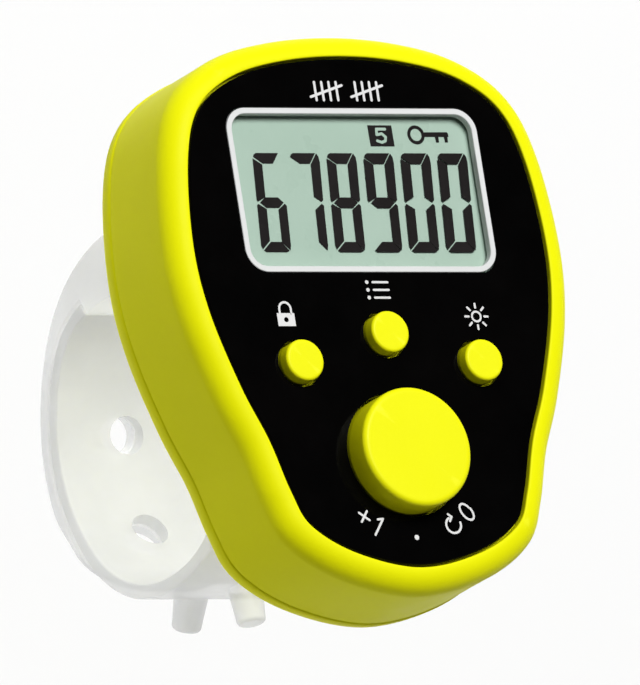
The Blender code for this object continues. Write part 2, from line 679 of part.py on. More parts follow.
def hole_cutters(radius):
    return joined([radial(cylinder(HOLE_RADIUS, -3 * MM, 3 * MM, 20), a, radius) for a in HOLE_ANGLES])


def build_strap_base():
    face = CASE_FRONT_Z - CASE_DEPTH - FIT

    def top(angle):
        under_case = face / math.cos(math.radians(angle))
        arm = outer_face(max(angle, FLEX_ANGLE)) if angle > 0 else middle_face(360.0 + angle)
        return min(under_case, arm)

    root = FLEX_ANGLE - math.degrees(FLEX_GAP / 2 / (13.0 * MM))
    saddle = strap_mesh([ring_profile(top, inner_face, -root, root, 4.0)])
    base = place("strap_base", saddle, SILICONE, None)
    stem_bottom = face - 1.0 * MM
    floor_top = CASE_FRONT_Z + FLOOR_TOP_Z
    stem_top = floor_top + FIT + FOOT_SIZE[2] / 2
    stem = box((*STEM_SIZE, stem_top - stem_bottom), (0.0, 0.0, (stem_top + stem_bottom) / 2))
    foot = box(FOOT_SIZE, (0.0, 0.0, floor_top + FIT + FOOT_SIZE[2] / 2))
    boolean(base, place_cutter("base_stem", stem, None), "UNION")
    boolean(base, place_cutter("base_foot", foot, None), "UNION")


def build_top_arm():
    """Outer arm: full thickness down to the inner arm's end, then a layer outside that arm."""
    hinge = flex_axis(FLEX_ANGLE, TOP_HINGE_RADIUS)
    start = FLEX_ANGLE + math.degrees(FLEX_GAP / 2 / (13.0 * MM))
    step_angle = ARM_END_ANGLE - math.degrees(LAYER_GAP / (13.5 * MM))
    angles = [start + (TIP_ANGLE - start) * i / 38 for i in range(39)]
    points = [ring_point(a, outer_face(a)) for a in angles]
    under = [a for a in reversed(angles) if a > step_angle]
    points += [ring_point(a, middle_face(a) + LAYER_GAP) for a in under]
    points.append(ring_point(step_angle, middle_face(step_angle) + LAYER_GAP))
    points.append(ring_point(step_angle, inner_face(step_angle)))
    points += [ring_point(a, inner_face(a)) for a in reversed(angles) if a < step_angle]
    mesh = moved(strap_mesh([points]), -hinge)
    arm = place("strap_top_arm", mesh, SILICONE, None, hinge)
    boolean(arm, place_cutter("cut_top_arm_holes", hole_cutters(14.0 * MM), None), "DIFFERENCE")

    tip_radius = outer_face(TIP_ANGLE)
    corner = TIP_CORNER
    back = 2 * corner
    half = STRAP_WIDTH / 2
    rounded = [(half, -back), (half, -corner)]
    for i in range(1, 7):
        t = math.radians(90 * i / 6)
        rounded.append((half - corner + corner * math.cos(t), -corner + corner * math.sin(t)))
    rounded += [(-x, y) for x, y in reversed(rounded)]
    margin = 1.5 * MM
    start = -back + MM
    clear = 0.05 * MM
    frame = [(half + margin, start), (half + margin, 2 * margin)]
    frame += [(-x, y) for x, y in reversed(frame)]
    outline = frame + [(-half - 4 * clear, start)]
    for x, y in reversed(rounded[1:-1]):
        outline.append((x if abs(x) < half else math.copysign(half + clear, x), y))
    outline.append((half + 4 * clear, start))
    cutter = extruded([outline], -3 * MM, 3 * MM)
    boolean(arm, place_cutter("cut_tip_corners", radial(cutter, TIP_ANGLE, tip_radius), None), "DIFFERENCE")


def build_bottom_arm():
    hinge = flex_axis(-FLEX_ANGLE, BOTTOM_HINGE_RADIUS)
    start = ARM_END_ANGLE
    end = 360.0 - FLEX_ANGLE - math.degrees(FLEX_GAP / 2 / (13.0 * MM))
    mesh = strap_mesh([ring_profile(middle_face, inner_face, start, end)])
    arm = place("strap_bottom_arm", moved(mesh, -hinge), SILICONE, None, hinge)
    boolean(arm, place_cutter("cut_bottom_arm_holes", hole_cutters(12.5 * MM), None), "DIFFERENCE")
    for number, angle in enumerate(PEG_ANGLES, 1):
        root = middle_face(angle)
        buried = 0.5 * MM
        shape = bmesh.new()
        bmesh.ops.create_cone(
            shape, cap_ends=True, segments=20, radius1=PEG_BASE_RADIUS, radius2=PEG_TIP_RADIUS,
            depth=PEG_LENGTH + buried,
        )
        rim = [e for e in shape.edges if all(v.co.z > 0 for v in e.verts)]
        bmesh.ops.bevel(shape, geom=rim, offset=PEG_EDGE, segments=2, affect="EDGES", profile=0.5)
        bmesh.ops.translate(shape, verts=shape.verts, vec=(0.0, 0.0, (PEG_LENGTH - buried) / 2))
        peg = bpy.data.meshes.new("peg")
        shape.to_mesh(peg)
        shape.free()
        boolean(arm, place_cutter(f"peg_{number}", radial(peg, angle, root), None), "UNION")


# ---------------------------------------------------------------- assembly
clear_scene()
PARTS = new_collection("finger_tally_counter")
CUTTERS = new_collection("cutters")

YELLOW = make_material("yellow_abs", (0.95, 0.95, 0.01), 0.35)
BLACK_GLOSS = make_material("black_panel", (0.004, 0.004, 0.004), 0.08)
PALE_GREY = make_material("window_border", (0.78, 0.79, 0.78), 0.4)
CLEAR = make_material("clear_window", (0.9, 0.95, 0.92), 0.05, alpha=0.25)
LCD_GREEN = make_material("lcd_glass", (0.42, 0.55, 0.46), 0.15)
MILK_WHITE = make_material("milk_white", (0.85, 0.86, 0.84), 0.5)
PINK_RUBBER = make_material("elastomer", (0.65, 0.35, 0.36), 0.8)
BOARD_GREEN = make_material("board_green", (0.02, 0.16, 0.06), 0.45)
BLACK_MATT = make_material("epoxy_black", (0.01, 0.01, 0.01), 0.6)
TANTALUM = make_material("capacitor_tan", (0.55, 0.35, 0.12), 0.5)
STEEL = make_material("steel", (0.6, 0.6, 0.6), 0.25, metallic=1.0)
BRASS = make_material("plated_brass", (0.75, 0.6, 0.3), 0.3, metallic=1.0)
GREY_RUBBER = make_material("dome_rubber", (0.3, 0.3, 0.3), 0.75)
SILICONE = make_material("frosted_silicone", (0.88, 0.89, 0.9), 0.35, alpha=0.6)

case_origin = bpy.data.objects.new("case_origin", None)
case_origin.location = (0.0, CASE_CENTRE_Y, CASE_FRONT_Z)
PARTS.objects.link(case_origin)

build_front_shell(case_origin)
build_rear_shell(case_origin)
build_case_screws(case_origin)
build_front_panel(case_origin)
build_display(case_origin)
build_board(case_origin)
build_power(case_origin)
build_buttons(case_origin)
build_strap_base()
build_top_arm()
build_bottom_arm()
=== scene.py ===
"""Looks of the finger tally counter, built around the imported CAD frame.

Row frame: +Z out of the front panel, +Y towards the top of the display, +X along the finger. Heights and
places on the case are measured from the middle of its front rim, as in the CAD; CASE moves them.
"""
import math

import bmesh
import bpy
import numpy as np
from mathutils import Matrix, Vector


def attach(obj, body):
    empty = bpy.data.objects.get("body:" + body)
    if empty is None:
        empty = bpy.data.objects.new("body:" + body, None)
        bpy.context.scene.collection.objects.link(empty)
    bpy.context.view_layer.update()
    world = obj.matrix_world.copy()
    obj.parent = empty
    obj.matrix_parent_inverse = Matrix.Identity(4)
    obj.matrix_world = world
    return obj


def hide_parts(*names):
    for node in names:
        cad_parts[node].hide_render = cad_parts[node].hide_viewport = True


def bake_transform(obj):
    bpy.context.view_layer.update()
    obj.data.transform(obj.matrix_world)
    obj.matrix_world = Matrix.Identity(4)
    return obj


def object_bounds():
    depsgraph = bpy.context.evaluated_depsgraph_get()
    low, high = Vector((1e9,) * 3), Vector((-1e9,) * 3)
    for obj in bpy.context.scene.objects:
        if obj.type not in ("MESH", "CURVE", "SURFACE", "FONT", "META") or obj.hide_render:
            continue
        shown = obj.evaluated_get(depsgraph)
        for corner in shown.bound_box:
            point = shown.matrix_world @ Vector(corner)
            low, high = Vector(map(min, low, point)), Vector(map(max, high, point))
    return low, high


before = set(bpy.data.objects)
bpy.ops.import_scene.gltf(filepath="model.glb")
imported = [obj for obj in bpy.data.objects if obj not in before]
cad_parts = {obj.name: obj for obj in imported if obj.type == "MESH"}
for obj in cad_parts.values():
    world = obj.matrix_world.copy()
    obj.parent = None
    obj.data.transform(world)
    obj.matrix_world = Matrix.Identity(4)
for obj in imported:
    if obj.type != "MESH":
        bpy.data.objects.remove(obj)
CAD_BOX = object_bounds()
MM = 0.001

# ---------------------------------------------------------------- dimensions, in millimetres
CASE = Vector((0.0, 1.9, 25.5)) * MM
CASE_DEPTH = 11.0
RIM_WIDTH = 1.85
RIM_RADIUS = 1.75
REAR_RADIUS = 2.0
WALL = 1.45
PARTING_Z = -8.5
LEDGE = 0.08                      # the rear shell stands out past the front one
FIT = 0.2
LIP_HEIGHT = 0.9                  # the rear shell's lip inside the front one
LIP_INSET = 0.9
PANEL_TOP_Z = -0.1
PANEL_THICK = 0.6
PLATE_TOP_Z = -0.9
PLATE_BOTTOM_Z = -2.0
FLOOR_TOP_Z = -9.8
WINDOW_AT = (0.0, 9.35)
WINDOW_SIZE = (21.9, 12.9)
WINDOW_RADIUS = 1.9
BEZEL_WIDTH = 0.45
WINDOW_EDGE = 0.04                # small chamfer on the window border
LCD_TOP_Z = -0.95
INK_Z = LCD_TOP_Z + 0.01
# Each button: x, y, radius and height above the panel.
BUTTONS = {
    "count": (0.0, -11.1, 4.6, 2.2),
    "lock": (-7.75, -4.05, 1.6, 0.95),
    "channel": (0.0, -1.86, 1.6, 0.95),
    "light": (7.75, -4.05, 1.6, 0.95),
}
HOLE_CLEARANCE = 0.22
FLANGE_TOP_Z = -2.2               # the flange keeps a button inside the case
FLANGE_BOTTOM_Z = -2.7
STEM_END_Z = -3.45
SCREWS = {"upper": (13.1, 0.2), "lower": (7.6, -15.2)}
SCREW_SEAT_RADIUS = 1.5
SCREW_SEAT_DEPTH = 1.3
SCREW_HEAD_SINK = 0.25            # the heads lie below the rear face
STEM_SIZE = (7.8, 6.8)            # the strap's stem goes into the rear shell
STEM_AT = (0.0, -1.9)
PRINT_THICK = 0.02
PRINT_STAGGER = 0.004
PRINT_LINE = 0.17
LOCK_PRINT_AT = (-8.3, -0.35)
CHANNEL_PRINT_AT = (0.0, 1.6)
LIGHT_PRINT_AT = (8.2, -0.45)
COUNT_PRINT_RADIUS = 6.35         # the prints round the count button lie on this circle
PLUS_ONE_ANGLE = 235
RESET_ANGLE = 308
# Right half of the panel's outline, from its top to its bottom.
PANEL_HALF = [
    (0.0, 19.7), (5.2, 19.3), (9.7, 18.1), (13.0, 15.7), (14.6, 11.7), (15.3, 5.2), (14.8, -0.1),
    (13.1, -5.9), (11.4, -10.0), (10.2, -14.0), (8.9, -16.6), (5.3, -18.7), (0.0, -19.8),
]
STRAP_WIDTH = 12.2
MEAN_RADIUS = 13.5                # turns a length along the strap into an angle
ARM_THICK = 1.15
LAYER_GAP = 0.3
ARM_END_ANGLE = 118.0
TIP_ANGLE = 224.0
TIP_CORNER = 4.6
HOLE_ANGLES = (163.6, 200.2)
PEG_ANGLES = (236.9, 273.6)
HOLE_RADIUS = 1.45
PEG_LENGTH = 2.85
# Radii of the strap's faces by angle from +Z towards +Y, in degrees.
INNER_RADIUS = [
    (0, 11.5), (60, 11.2), (90, 11.1), (108, 11.9), (133, 13.3), (150, 13.2),
    (175, 12.6), (200, 11.9), (225, 11.5), (250, 11.2), (270, 11.1), (300, 11.4),
]
OUTER_RADIUS = [
    (40, 16.2), (95, 16.2), (125, 16.25), (150, 15.7), (175, 15.1), (190, 14.6), (200, 13.9),
    (208, 13.62), (226, 13.48),
]
ROOT_THICKENING = 0.9
SEAM_ANGLE = -8.0                 # where the saddle's skin ends and the inner arm's begins
ARM_ROOT_ANGLE = 40.0             # the outer face's own curve starts here

# ---------------------------------------------------------------- camera, lights, floor
RIGHT = Vector((0.85486, -0.15094, 0.49646))
UP = Vector((0.0, 0.95675, 0.29087))
TOWARDS = RIGHT.cross(UP)
FRAME_HEIGHT = 50.97 * MM         # at SCALE_DEPTH behind the front rim
SCALE_DEPTH = 12.0 * MM
DISTANCE = 1.98
FLOOR_DROP = 90.0 * MM            # the part is worn on a finger, clear of the floor
AIM_RIGHT = -4.55 * MM            # the view's middle, from the middle of the front rim
AIM_UP = -2.38 * MM
# Each lamp: direction from the origin, distance and diameter in metres, power in watts.
KEY_LAMP = ((0.06, 0.36, 0.93), 2.4, 1.2, 73.0)
FILL_LAMP = ((-0.94, 0.0, 0.3), 1.4, 0.6, 0.1)
STRAP_LAMP = ((-0.1, 0.42, 0.9), 0.9, 0.3, 6.6)
# Grey of the surroundings by the height of the direction: bright at the horizon, dark overhead.
HORIZON = (0.15, 0.42)
OVERHEAD = (0.45, 0.008)

target = CASE + RIGHT * AIM_RIGHT + UP * AIM_UP
camera_data = bpy.data.cameras.new("camera")
camera_data.sensor_width = 36.0
camera_data.lens = camera_data.sensor_width * (DISTANCE + SCALE_DEPTH) / FRAME_HEIGHT
camera_data.clip_start = 0.1
camera_data.clip_end = 20.0
camera = bpy.data.objects.new("camera", camera_data)
bpy.context.scene.collection.objects.link(camera)
turn = Matrix((RIGHT, UP, TOWARDS)).transposed()
camera.matrix_world = Matrix.Translation(target + TOWARDS * DISTANCE) @ turn.to_4x4()
bpy.context.scene.camera = camera
bpy.context.scene.view_settings.view_transform = "Standard"


def area_light(name, direction, distance, size, power):
    """White round lamp that shines at the origin."""
    data = bpy.data.lights.new(name, "AREA")
    data.shape = "DISK"
    data.size = size
    data.energy = power
    light = bpy.data.objects.new(name, data)
    bpy.context.scene.collection.objects.link(light)
    way = Vector(direction).normalized()
    light.location = way * distance
    light.rotation_mode = "QUATERNION"
    light.rotation_quaternion = (-way).to_track_quat("-Z", "Y")
    return light


area_light("key", *KEY_LAMP)
area_light("fill", *FILL_LAMP)


# ---------------------------------------------------------------- node materials
class Nodes:
    """A small helper that adds nodes to a material and links them."""

    def __init__(self, name):
        self.material = bpy.data.materials.new(name)
        self.material.use_nodes = True
        self.tree = self.material.node_tree
        self.shader = self.tree.nodes["Principled BSDF"]
        self.coordinates = self.tree.nodes.new("ShaderNodeTexCoord").outputs["Object"]

    def add(self, kind, inputs=None, **settings):
        node = self.tree.nodes.new(kind)
        for key, value in settings.items():
            setattr(node, key, value)
        for key, value in (inputs or {}).items():
            if isinstance(value, bpy.types.NodeSocket):
                self.tree.links.new(value, node.inputs[key])
            else:
                node.inputs[key].default_value = value
        return node

    def noise(self, size, detail=2.0, stretch=None):
        """Noise from 0 to 1 whose features are about size metres."""
        source = self.coordinates
        if stretch:
            source = self.add("ShaderNodeMapping", {"Vector": source, "Scale": stretch}).outputs[0]
        settings = {"Vector": source, "Scale": 1.0 / size, "Detail": detail}
        return self.add("ShaderNodeTexNoise", settings).outputs["Fac"]

    def grey(self, factor, low, high, start=0.3, end=0.7):
        """The factor stretched from its start-to-end range to low-to-high."""
        settings = {"Value": factor, "From Min": start, "From Max": end, "To Min": low, "To Max": high}
        return self.add("ShaderNodeMapRange", settings).outputs["Result"]

    def mix(self, factor, a, b):
        """Colour a where the factor is 0, colour b where it is 1."""
        node = self.add("ShaderNodeMix", data_type="RGBA")
        for index, value in ((0, factor), (6, a), (7, b)):
            if isinstance(value, bpy.types.NodeSocket):
                self.tree.links.new(value, node.inputs[index])
            elif index == 0:
                node.inputs[index].default_value = value
            else:
                node.inputs[index].default_value = (*value, 1.0)
        return node.outputs[2]

    def edges(self, start=0.525, end=0.6):
        """1 on worn outer edges, 0 elsewhere."""
        pointed = self.add("ShaderNodeNewGeometry").outputs["Pointiness"]
        worn = self.grey(pointed, 0.0, 1.0, start, end)
        patchy = self.grey(self.noise(0.7 * MM, 3.0), 0.0, 1.0, 0.35, 0.65)
        return self.add("ShaderNodeMath", {0: worn, 1: patchy}, operation="MULTIPLY").outputs[0]

    def bump(self, height, distance):
        settings = {"Height": height, "Distance": distance, "Strength": 1.0}
        return self.add("ShaderNodeBump", settings).outputs["Normal"]

    def finish(self, **inputs):
        """Set or link the shader's inputs, whose spaces are written as underscores here."""
        for key, value in inputs.items():
            socket = self.shader.inputs[key.replace("_", " ")]
            if isinstance(value, bpy.types.NodeSocket):
                self.tree.links.new(value, socket)
            else:
                socket.default_value = (*value, 1.0) if isinstance(value, tuple) else value
        return self.material


def plastic(name, colour, deep, rough=(0.3, 0.4), grain=0.006, wear=None, **more):
    """Moulded plastic: slow colour drift, fine orange-peel grain, rubbed edges."""
    n = Nodes(name)
    drift = n.grey(n.noise(9 * MM, 3.0), 0.0, 1.0)
    specks = n.grey(n.noise(0.25 * MM, 2.0), 0.0, 0.25)
    both = n.add("ShaderNodeMath", {0: drift, 1: specks}, operation="ADD").outputs[0]
    base = n.mix(both, colour, deep)
    if wear:
        rubbed = n.add("ShaderNodeMath", {0: n.edges(), 1: 0.5}, operation="MULTIPLY").outputs[0]
        base = n.mix(rubbed, base, wear)
    peel = n.bump(n.noise(0.45 * MM, 2.0), grain * MM)
    roughness = n.grey(n.noise(2.2 * MM, 4.0), *rough)
    return n.finish(Base_Color=base, Roughness=roughness, Normal=peel, **more)


def metal(name, colour, deep, rough, grain):
    """Plated metal: brushed along Y, with patches of duller plating."""
    n = Nodes(name)
    base = n.mix(n.grey(n.noise(1.5 * MM, 3.0), 0.0, 1.0), colour, deep)
    brushed = n.noise(0.12 * MM, 3.0, stretch=(1.0, 0.08, 1.0))
    roughness = n.grey(n.noise(0.8 * MM, 4.0), *rough)
    return n.finish(Base_Color=base, Metallic=1.0, Roughness=roughness, Normal=n.bump(brushed, grain * MM))


def silicone():
    """Frosted clear silicone: a soft white haze that lets some of what is behind it through."""
    n = Nodes("frosted_silicone")
    cloud = n.grey(n.noise(5 * MM, 3.0), 0.0, 1.0)
    base = n.mix(cloud, (0.93, 0.935, 0.945), (0.86, 0.87, 0.885))
    frost = n.bump(n.noise(0.9 * MM, 2.0), 0.006 * MM)
    roughness = n.grey(n.noise(1.6 * MM, 3.0), 0.38, 0.52)
    return n.finish(Base_Color=base, Roughness=roughness, Normal=frost, Alpha=0.42)


YELLOW = plastic(
    "yellow_abs", (0.82, 0.82, 0.003), (0.79, 0.79, 0.002), rough=(0.42, 0.5), wear=(0.9, 0.9, 0.03),
    Specular_IOR_Level=0.05,
)
YELLOW_KEY = plastic(
    "yellow_button", (0.83, 0.83, 0.004), (0.80, 0.80, 0.003), rough=(0.38, 0.46), wear=(0.92, 0.92, 0.04),
    Specular_IOR_Level=0.09,
)
PANEL = plastic(
    "black_panel", (0.0008, 0.0008, 0.0008), (0.0016, 0.0014, 0.0014), rough=(0.1, 0.16), grain=0.001,
    Specular_IOR_Level=0.06,
)
FRAME_GREY = plastic(
    "window_border", (0.68, 0.69, 0.685), (0.63, 0.64, 0.635), rough=(0.35, 0.45), grain=0.002
)
WINDOW = plastic(
    "clear_window", (0.02, 0.022, 0.022), (0.03, 0.033, 0.033), rough=(0.05, 0.09), grain=0.001, Alpha=0.05
)
LCD_FACE = plastic("lcd_face", (0.455, 0.605, 0.505), (0.43, 0.585, 0.48), rough=(0.25, 0.35), grain=0.002)
LCD_INK = plastic(
    "lcd_ink", (0.009, 0.007, 0.007), (0.014, 0.011, 0.011), rough=(0.35, 0.5), grain=0.002,
    Specular_IOR_Level=0.06,
)
WHITE_INK = plastic("white_ink", (0.70, 0.70, 0.70), (0.62, 0.62, 0.62), rough=(0.45, 0.6), grain=0.003)
SILICONE = silicone()
STEEL = metal("plated_steel", (0.62, 0.62, 0.61), (0.5, 0.5, 0.5), (0.22, 0.36), 0.004)
BRASS = metal("plated_brass", (0.78, 0.62, 0.34), (0.66, 0.52, 0.28), (0.25, 0.4), 0.004)
MILKY = plastic("milk_white", (0.86, 0.87, 0.85), (0.78, 0.79, 0.77), rough=(0.4, 0.55))
BOARD = plastic("board_green", (0.02, 0.16, 0.06), (0.012, 0.1, 0.04), rough=(0.3, 0.45))
RESIN = plastic("epoxy_black", (0.012, 0.012, 0.012), (0.02, 0.02, 0.02), rough=(0.5, 0.65), grain=0.02)
TAN = plastic("capacitor_tan", (0.55, 0.35, 0.12), (0.42, 0.26, 0.08), rough=(0.4, 0.55))
PINK = plastic("elastomer", (0.65, 0.35, 0.36), (0.5, 0.26, 0.27), rough=(0.7, 0.85))
DOME = plastic("dome_rubber", (0.30, 0.30, 0.30), (0.22, 0.22, 0.22), rough=(0.65, 0.8), grain=0.01)


# ---------------------------------------------------------------- mesh helpers
def case_outline(offset, steps=10):
    """Closed outline of the black panel, moved outwards by an offset, counted clockwise from the top."""
    half = np.array(PANEL_HALF)
    knots = np.vstack([half, half[-2:0:-1] * (-1.0, 1.0)])
    count = len(knots)
    t = np.linspace(0.0, 1.0, steps, endpoint=False)[:, None]
    stretches = []
    for i in range(count):
        a, b, c, d = (knots[(i + k) % count] for k in (-1, 0, 1, 2))
        cubic = 2 * b + (c - a) * t + (2 * a - 5 * b + 4 * c - d) * t**2 + (3 * b - a - 3 * c + d) * t**3
        stretches.append(cubic / 2)
    points = np.vstack(stretches)
    along = np.roll(points, -1, axis=0) - np.roll(points, 1, axis=0)
    along /= np.linalg.norm(along, axis=1)[:, None]
    return points + np.stack([-along[:, 1], along[:, 0]], axis=1) * offset


def box_outline(width, height, radius, at=(0.0, 0.0), steps=10):
    """Rectangle with round corners, as a function of the offset outwards."""
    def outline(offset):
        points = []
        w, h, r = width / 2 + offset, height / 2 + offset, max(radius + offset, 0.01)
        for corner, (sx, sy) in enumerate(((1, 1), (-1, 1), (-1, -1), (1, -1))):
            for i in range(steps + 1):
                t = (corner + i / steps) * math.pi / 2
                x = at[0] + sx * (w - r) + r * math.cos(t)
                y = at[1] + sy * (h - r) + r * math.sin(t)
                points.append((x, y))
        return np.array(points)

    return outline


def round_outline(radius, at=(0.0, 0.0), sides=64):
    """Circle, as a function of the offset outwards."""
    def outline(offset):
        t = np.linspace(0.0, 2 * math.pi, sides, endpoint=False)
        return np.stack([np.cos(t), np.sin(t)], axis=1) * (radius + offset) + np.array(at)

    return outline


def lofted(rings, closed=False):
    """Mesh through rings of points in metres; the first and last are capped, or joined when closed."""
    mesh = bpy.data.meshes.new("loft")
    size = len(rings[0])
    points = [tuple(p) for ring in rings for p in ring]
    faces = []
    pairs = len(rings) if closed else len(rings) - 1
    for i in range(pairs):
        a, b = i * size, (i + 1) % len(rings) * size
        for k in range(size):
            m = (k + 1) % size
            faces.append((a + k, a + m, b + m, b + k))
    if not closed:
        faces.append(tuple(range(size)))
        faces.append(tuple((len(rings) - 1) * size + k for k in reversed(range(size))))
    mesh.from_pydata(points, [], faces)
    shape = bmesh.new()
    shape.from_mesh(mesh)
    bmesh.ops.recalc_face_normals(shape, faces=shape.faces)
    shape.to_mesh(mesh)
    shape.free()
    return mesh


def stacked(outline, rows, closed=False, origin=CASE):
    """Mesh whose rings are an outline at (offset, height) rows."""
    rings = []
    for offset, height in rows:
        ring = [Vector((x, y, height)) * MM + origin for x, y in outline(offset)]
        rings.append(ring)
    return lofted(rings, closed)


def arc(centre, radius, start, end, steps):
    """Points of an arc in a profile, angles in degrees."""
    points = []
    for i in range(steps + 1):
        t = math.radians(start + (end - start) * i / steps)
        points.append((centre[0] + radius * math.cos(t), centre[1] + radius * math.sin(t)))
    return points


def turned(profile, at, sides=72, origin=CASE):
    """Solid of revolution about Z: the profile runs from the axis out and back to it."""
    rings = []
    t = np.linspace(0.0, 2 * math.pi, sides, endpoint=False)
    for radius, height in profile:
        ring = [(at[0] + radius * math.cos(a), at[1] + radius * math.sin(a), height) for a in t]
        rings.append([Vector(point) * MM + origin for point in ring])
    return lofted(rings)


def flat_print(loops, bottom):
    """Thin printed shape from flat outlines in millimetres; inner outlines become holes."""
    curve = bpy.data.curves.new("print", "CURVE")
    curve.dimensions = "2D"
    curve.fill_mode = "BOTH"
    curve.extrude = PRINT_THICK / 2
    for loop in loops:
        spline = curve.splines.new("POLY")
        spline.points.add(len(loop) - 1)
        for point, (x, y) in zip(spline.points, loop):
            point.co = (x, y, 0.0, 1.0)
        spline.use_cyclic_u = True
    obj = bpy.data.objects.new("print", curve)
    bpy.context.scene.collection.objects.link(obj)
    bpy.context.view_layer.update()
    mesh = bpy.data.meshes.new_from_object(obj.evaluated_get(bpy.context.evaluated_depsgraph_get()))
    bpy.data.objects.remove(obj)
    bpy.data.curves.remove(curve)
    mesh.transform(Matrix.Translation((0.0, 0.0, bottom + PRINT_THICK / 2)))
    mesh.transform(Matrix.Translation(CASE) @ Matrix.Scale(MM, 4))
    shape = bmesh.new()
    shape.from_mesh(mesh)
    bmesh.ops.remove_doubles(shape, verts=shape.verts, dist=1e-7)
    bmesh.ops.recalc_face_normals(shape, faces=shape.faces)
    shape.to_mesh(mesh)
    shape.free()
    return mesh


def joined(meshes):
    """One mesh from many, which are removed."""
    shape = bmesh.new()
    for mesh in meshes:
        shape.from_mesh(mesh)
        bpy.data.meshes.remove(mesh)
    whole = bpy.data.meshes.new("joined")
    shape.to_mesh(whole)
    shape.free()
    return whole


def place(name, mesh, material, sharp=35.0):
    """New object with smooth faces, split at edges sharper than an angle."""
    shape = bmesh.new()
    shape.from_mesh(mesh)
    for face in shape.faces:
        face.smooth = True
    limit = math.radians(sharp)
    for edge in shape.edges:
        edge.smooth = len(edge.link_faces) == 2 and edge.calc_face_angle(0.0) < limit
    shape.to_mesh(mesh)
    shape.free()
    mesh.name = name
    mesh.materials.clear()
    mesh.materials.append(material)
    obj = bpy.data.objects.new(name, mesh)
    bpy.context.scene.collection.objects.link(obj)
    return obj


def carved(mesh, tools, operation="DIFFERENCE"):
    """Mesh after exact Booleans with the tool meshes."""
    obj = bpy.data.objects.new("body", mesh)
    bpy.context.scene.collection.objects.link(obj)
    helpers = []
    for tool in tools:
        helper = bpy.data.objects.new("tool", tool)
        bpy.context.scene.collection.objects.link(helper)
        modifier = obj.modifiers.new("cut", "BOOLEAN")
        modifier.operation = operation
        modifier.solver = "EXACT"
        modifier.object = helper
        helpers.append(helper)
    bpy.context.view_layer.update()
    result = bpy.data.meshes.new_from_object(obj.evaluated_get(bpy.context.evaluated_depsgraph_get()))
    for helper in [*helpers, obj]:
        bpy.data.objects.remove(helper)
    return result


def stands_for(obj, body, slot, *nodes):
    """Make a piece ride a body in place of CAD nodes, which are hidden; the slot is not used."""
    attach(obj, body)
    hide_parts(*nodes)
    return obj


# ---------------------------------------------------------------- case
def button_hole_cutters(low, high):
    return [
        stacked(round_outline(radius + HOLE_CLEARANCE, (x, y)), [(0, low), (0, high)])
        for x, y, radius, _ in BUTTONS.values()
    ]


def screw_places():
    for row, (x, y) in SCREWS.items():
        for side, sign in (("left", -1), ("right", 1)):
            yield f"case_screw_{row}_{side}", (sign * x, y)


def build_front_shell():
    seat = 0.12
    crown = RIM_WIDTH - RIM_RADIUS
    inside = RIM_WIDTH - WALL
    rows = [(0.0, PLATE_TOP_Z)]
    rows += [(0.0, -seat)] + arc((seat, -seat), seat, 180, 90, 4)[1:]
    rows += arc((crown + 0.02, -RIM_RADIUS), RIM_RADIUS, 90, 0, 18)
    rows += [(RIM_WIDTH, -3.2), (RIM_WIDTH, -5.5), (RIM_WIDTH, PARTING_Z + 0.5), (RIM_WIDTH, PARTING_Z)]
    rows += [(inside, PARTING_Z), (inside, PLATE_BOTTOM_Z)]
    body = stacked(case_outline, rows)
    width, height = WINDOW_SIZE
    opening = box_outline(width + 2.4, height + 2.0, WINDOW_RADIUS, WINDOW_AT)
    tools = [stacked(opening, [(0, -3.0), (0, 0.5)])] + button_hole_cutters(-3.0, 1.0)
    shell = place("front_shell_skin", carved(body, tools), YELLOW)
    stands_for(shell, "case", "yellow_abs", "front_shell")


def build_rear_shell():
    wide = RIM_WIDTH + LEDGE
    inside = RIM_WIDTH - WALL
    rows = arc((wide - REAR_RADIUS, -CASE_DEPTH + REAR_RADIUS), REAR_RADIUS, -90, 0, 12)
    rows += [(wide, PARTING_Z - 0.12), (wide - 0.02, PARTING_Z - 0.08), (RIM_WIDTH, PARTING_Z)]
    rows += [(inside - FIT, PARTING_Z), (inside - FIT, PARTING_Z + LIP_HEIGHT)]
    rows += [(inside - LIP_INSET, PARTING_Z + LIP_HEIGHT), (inside - LIP_INSET, FLOOR_TOP_Z)]
    body = stacked(case_outline, rows)
    tools = []
    for _, at in screw_places():
        seat = [(0, -CASE_DEPTH - 1.0), (0, -CASE_DEPTH + SCREW_SEAT_DEPTH)]
        tools.append(stacked(round_outline(SCREW_SEAT_RADIUS, at, 48), seat))
    stem = box_outline(*STEM_SIZE, 0.4, STEM_AT)
    tools.append(stacked(stem, [(0, -CASE_DEPTH - 1.0), (0, -CASE_DEPTH + 2.0)]))
    shell = place("rear_shell_skin", carved(body, tools), YELLOW)
    stands_for(shell, "case", "yellow_abs", "rear_shell")


def build_screws():
    head = -CASE_DEPTH + SCREW_HEAD_SINK
    profile = [(0.02, head + 4.0), (0.3, head + 4.0), (0.55, head + 3.5)]
    profile += [(0.6, head + 0.9), (1.3, head + 0.9)]
    profile += arc((1.12, head + 0.42), 0.18, 0, -60, 4)
    profile += [(0.9, head + 0.1), (0.5, head), (0.02, head)]
    for node, (x, y) in screw_places():
        body = turned(profile, (x, y), 40)
        tools = []
        for wide, deep in ((1.5, 0.3), (0.3, 1.5)):
            slot = box_outline(wide, deep, 0.05, (x, y), 3)
            tools.append(stacked(slot, [(0, head - 0.5), (0, head + 0.1), (-0.08, head + 0.45)]))
        screw = place(f"{node}_skin", carved(body, tools), STEEL, sharp=30.0)
        stands_for(screw, "case", "steel", node)


